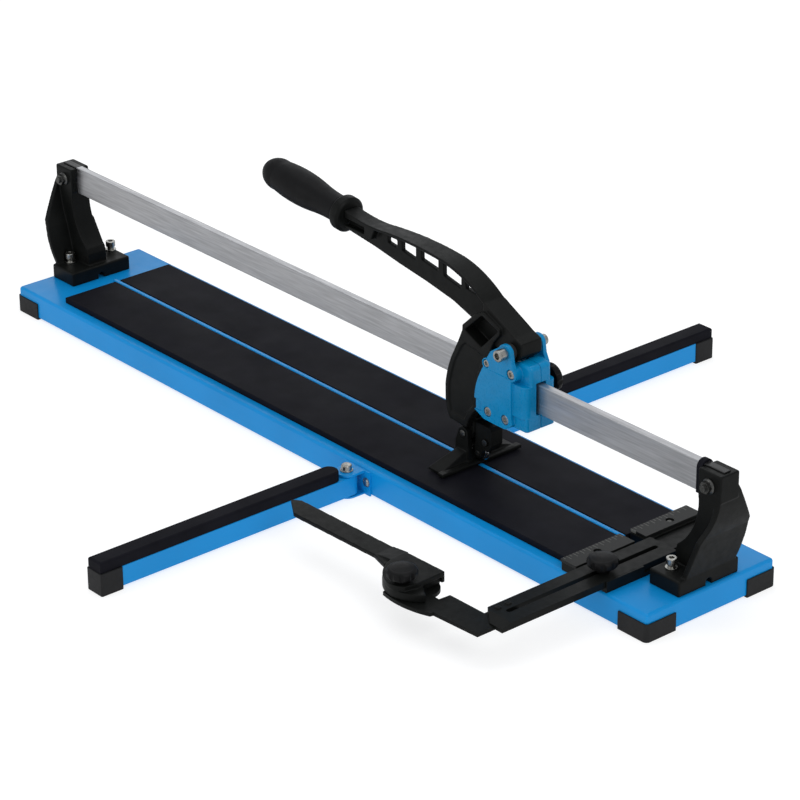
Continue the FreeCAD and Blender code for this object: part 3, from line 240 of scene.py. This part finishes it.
def make_materials():
    """Every slot's material. Depths are in millimetres, noise scales in features per metre."""
    made = {}

    def surface(slot, *args, **kwargs):
        made[slot] = Surface(slot, *args, **kwargs)
        return made[slot]

    s = surface("blue_paint", linear(6, 139, 210), 0.36, coat=0.06, specular=0.2)
    s.mottle(s.noise(9, 2), 0.05).sheen_map(s.noise(60, 4), 0.05)
    s.relief(s.noise(900, 2), 0.02, 0.5)
    s = surface("cast_blue", linear(0, 129, 184), 0.3, coat=0.15, specular=0.15)
    s.mottle(s.noise(70, 4), 0.06).sheen_map(s.noise(300, 3), 0.07)
    s.relief(s.noise(160, 3), 0.14, 0.4).relief(s.noise(900, 2), 0.03, 0.5)
    s = surface("rubber_pad", linear(20, 20, 26), 0.6, specular=0.06)
    s.mottle(s.noise(40, 5), 0.18).sheen_map(s.noise(14, 3), 0.06)
    s.relief(s.noise(1500, 3), 0.10, 0.7)
    s = surface("black_cast", linear(18, 19, 18), 0.4, specular=0.1)
    s.mottle(s.noise(45, 4), 0.16).sheen_map(s.noise(120, 3), 0.07)
    s.relief(s.noise(140, 3), 0.12, 0.5).relief(s.noise(1600, 3), 0.06, 0.8)
    s = surface("dark_plastic", linear(31, 31, 32), 0.5, specular=0.18)
    s.mottle(s.noise(60, 4), 0.10).sheen_map(s.noise(200, 3), 0.06)
    s.relief(s.noise(2200, 2), 0.05, 0.8)
    s = surface("ruler_face", linear(24, 25, 24), 0.42, specular=0.2)
    s.scale_marks().relief(s.noise(1600, 3), 0.05, 0.8)
    s = surface("rail_steel", linear(186, 186, 188), 0.38, metal=1.0)
    s.mottle(s.noise(420, 5, (0.05, 1, 1)), 0.16).sheen_map(s.noise(500, 4, (0.04, 1, 1)), 0.10)
    s.relief(s.noise(1500, 3, (0.03, 1, 1)), 0.04, 0.7).dark_ends(RAIL_DARK_FROM)
    s = surface("zinc", linear(170, 169, 164), 0.3, metal=1.0)
    s.mottle(s.noise(350, 4), 0.2).sheen_map(s.noise(500, 3), 0.08)
    s.relief(s.noise(1200, 2), 0.03, 0.5)
    s = surface("dark_zinc", linear(88, 88, 86), 0.34, metal=1.0)
    s.mottle(s.noise(350, 4), 0.25).sheen_map(s.noise(500, 3), 0.08)
    s.relief(s.noise(1200, 2), 0.03, 0.5)
    s = surface("bearing_steel", linear(185, 186, 188), 0.2, metal=1.0)
    s.mottle(s.noise(300, 3), 0.08).sheen_map(s.noise(800, 3), 0.06)
    s = surface("bushing", linear(42, 42, 42), 0.4, specular=0.3)
    s.mottle(s.noise(200, 3), 0.12).relief(s.noise(900, 3), 0.03, 0.5)
    s = surface("knob_plastic", linear(16, 16, 17), 0.42, specular=0.12)
    s.mottle(s.noise(90, 4), 0.12).sheen_map(s.noise(300, 3), 0.06)
    s.relief(s.noise(1800, 2), 0.04, 0.8)
    s = surface("grip_rubber", linear(21, 21, 22), 0.5, specular=0.1)
    s.mottle(s.noise(60, 4), 0.14).sheen_map(s.noise(90, 3), 0.06)
    s.relief(s.noise(1400, 3), 0.09, 0.8)
    return {slot: s.material for slot, s in made.items()}


# ---------------------------------------------------------------- pieces

def clean_copy(node):
    """A new mesh with the node's shape, its triangles joined back into flat faces."""
    work = bmesh.new()
    work.from_mesh(NODES[node].data)
    bmesh.ops.remove_doubles(work, verts=work.verts, dist=2e-6)
    bmesh.ops.dissolve_limit(work, angle_limit=FLAT_ANGLE, verts=work.verts, edges=work.edges)
    mesh = bpy.data.meshes.new(node + "_shape")
    work.to_mesh(mesh)
    work.free()
    return mesh


def piece_for(node, mesh):
    """An object that stands for the node, in its material, on its body."""
    made = bpy.data.objects.new(node + "_look", mesh)
    bpy.context.scene.collection.objects.link(made)
    mesh.materials.clear()
    mesh.materials.append(MATERIALS[SLOT_OF[node]])
    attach(made, BODY_OF[node])
    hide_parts(node)
    return made


def crisp(node, width):
    """A machined or pressed piece: the node's shape with small rounded edges."""
    mesh = clean_copy(node)
    for face in mesh.polygons:
        face.use_smooth = True
    mesh.set_sharp_from_angle(angle=EDGE_ANGLE)
    made = piece_for(node, mesh)
    bevel = made.modifiers.new("edges", "BEVEL")
    bevel.width = width * MM
    bevel.segments = EDGE_SEGMENTS
    bevel.limit_method = "ANGLE"
    bevel.angle_limit = EDGE_ANGLE
    bevel.harden_normals = True
    bevel.miter_outer = "MITER_ARC"


def cast(node, voxel, rounds):
    """A casting: the node's shape with soft fillets on every edge, inside and out."""
    made = piece_for(node, clean_copy(node))
    remesh = made.modifiers.new("grid", "REMESH")
    remesh.mode = "VOXEL"
    remesh.voxel_size = voxel * MM
    remesh.use_smooth_shade = True
    soften = made.modifiers.new("fillets", "SMOOTH")
    soften.factor = 0.5
    soften.iterations = rounds
    thin = made.modifiers.new("thin", "DECIMATE")
    thin.ratio = CAST_SHARE_KEPT


# Edge radius in millimetres of each crisp piece.
CRISP = {
    "base_pan": 0.5, "cross_members": 0.5, "breaking_ridge": 0.3, "front_pad": 0.3,
    "rear_pad": 0.3, "corner_foot_near_front": 0.7, "corner_foot_near_rear": 0.7,
    "corner_foot_far_front": 0.7, "corner_foot_far_rear": 0.7, "guide_rail": 0.2,
    "rail_bolts": 0.35, "bracket_bolts": 0.35, "rail_bumper": 0.6, "fence_block": 0.6,
    "front_ruler": 0.5, "rear_ruler": 0.5, "ruler_screws": 0.2, "slide_arm": 0.5,
    "slide_lock_knob": 0.7, "stop_lock_knob": 0.7, "carriage_knob": 0.7, "stop_link": 0.5,
    "link_rivets": 0.2, "stop_pivot_pin": 0.2, "front_arm_tube": 0.8, "rear_arm_tube": 0.8,
    "front_arm_pad": 0.5, "rear_arm_pad": 0.5, "front_arm_foot": 0.8, "rear_arm_foot": 0.8,
    "front_hinge_bracket": 0.3, "rear_hinge_bracket": 0.3, "front_hinge_bolt": 0.3,
    "rear_hinge_bolt": 0.3, "front_hinge_screws": 0.2, "rear_hinge_screws": 0.2,
    "roller_upper_near": 0.2, "roller_upper_far": 0.2, "roller_lower_near": 0.2,
    "roller_lower_far": 0.2, "axle_bolts": 0.3, "pivot_bolt": 0.4, "pivot_bushings": 0.3,
    "grip_collar": 0.8, "grip_rod": 0.3, "grip": 0.3, "foot_pin": 0.3, "cutting_wheel": 0.15,
    "wheel_axle": 0.2, "holder_screw": 0.2, "wheel_holder": 0.6,
}
# Voxel size in millimetres and smoothing passes of each casting.
CAST = {
    "near_bracket": (0.8, 6), "far_bracket": (0.8, 6), "carriage_front_shell": (0.5, 8),
    "carriage_rear_shell": (0.5, 8), "lever": (0.7, 6), "breaker_foot": (0.6, 4),
    "angle_stop": (0.7, 4),
}


# ---------------------------------------------------------------- light and floor

def area(name, place, target, size, power):
    """A rectangular lamp, turned to face its target."""
    data = bpy.data.lights.new(name, "AREA")
    data.shape = "RECTANGLE"
    data.size, data.size_y = size
    data.energy = power
    lamp = bpy.data.objects.new(name, data)
    bpy.context.scene.collection.objects.link(lamp)
    lamp.location = place
    lamp.rotation_euler = (Vector(target) - Vector(place)).to_track_quat("-Z", "Y").to_euler()


def studio():
    """A cool white surround, four soft lamps and a white floor that glows."""
    world = bpy.data.worlds.new("studio")
    bpy.context.scene.world = world
    world.use_nodes = True
    surround = world.node_tree.nodes["Background"]
    surround.inputs["Color"].default_value = (0.93, 0.96, 1.0, 1)
    surround.inputs["Strength"].default_value = 0.5
    for lamp in LAMPS:
        area(*lamp)
    floor = bpy.data.meshes.new("floor")
    corners = [(x * FLOOR_HALF, y * FLOOR_HALF, 0) for x, y in ((-1, -1), (1, -1), (1, 1), (-1, 1))]
    floor.from_pydata(corners, [], [(0, 1, 2, 3)])
    ground = bpy.data.objects.new("floor", floor)
    bpy.context.scene.collection.objects.link(ground)
    s = Surface("floor", (0.42, 0.42, 0.42, 1), 0.8, specular=0.0)
    s.mottle(s.noise(0.8, 2), 0.01)
    s.shader.inputs["Emission Color"].default_value = (1, 1, 1, 1)
    glossy = s.add("ShaderNodeLightPath").outputs["Is Glossy Ray"]
    glow = s.maths("SUBTRACT", FLOOR_GLOW, s.maths("MULTIPLY", glossy, FLOOR_GLOW_HELD_BACK))
    s.tree.links.new(glow, s.shader.inputs["Emission Strength"])
    floor.materials.append(s.material)
    bpy.context.scene.view_settings.view_transform = "Standard"


aim_camera()
MATERIALS = make_materials()
for node_name, node_object in NODES.items():
    node_object.data.materials.clear()
    node_object.data.materials.append(MATERIALS[SLOT_OF[node_name]])
for node_name, edge in CRISP.items():
    crisp(node_name, edge)
for node_name, (grid, passes) in CAST.items():
    cast(node_name, grid, passes)
studio()
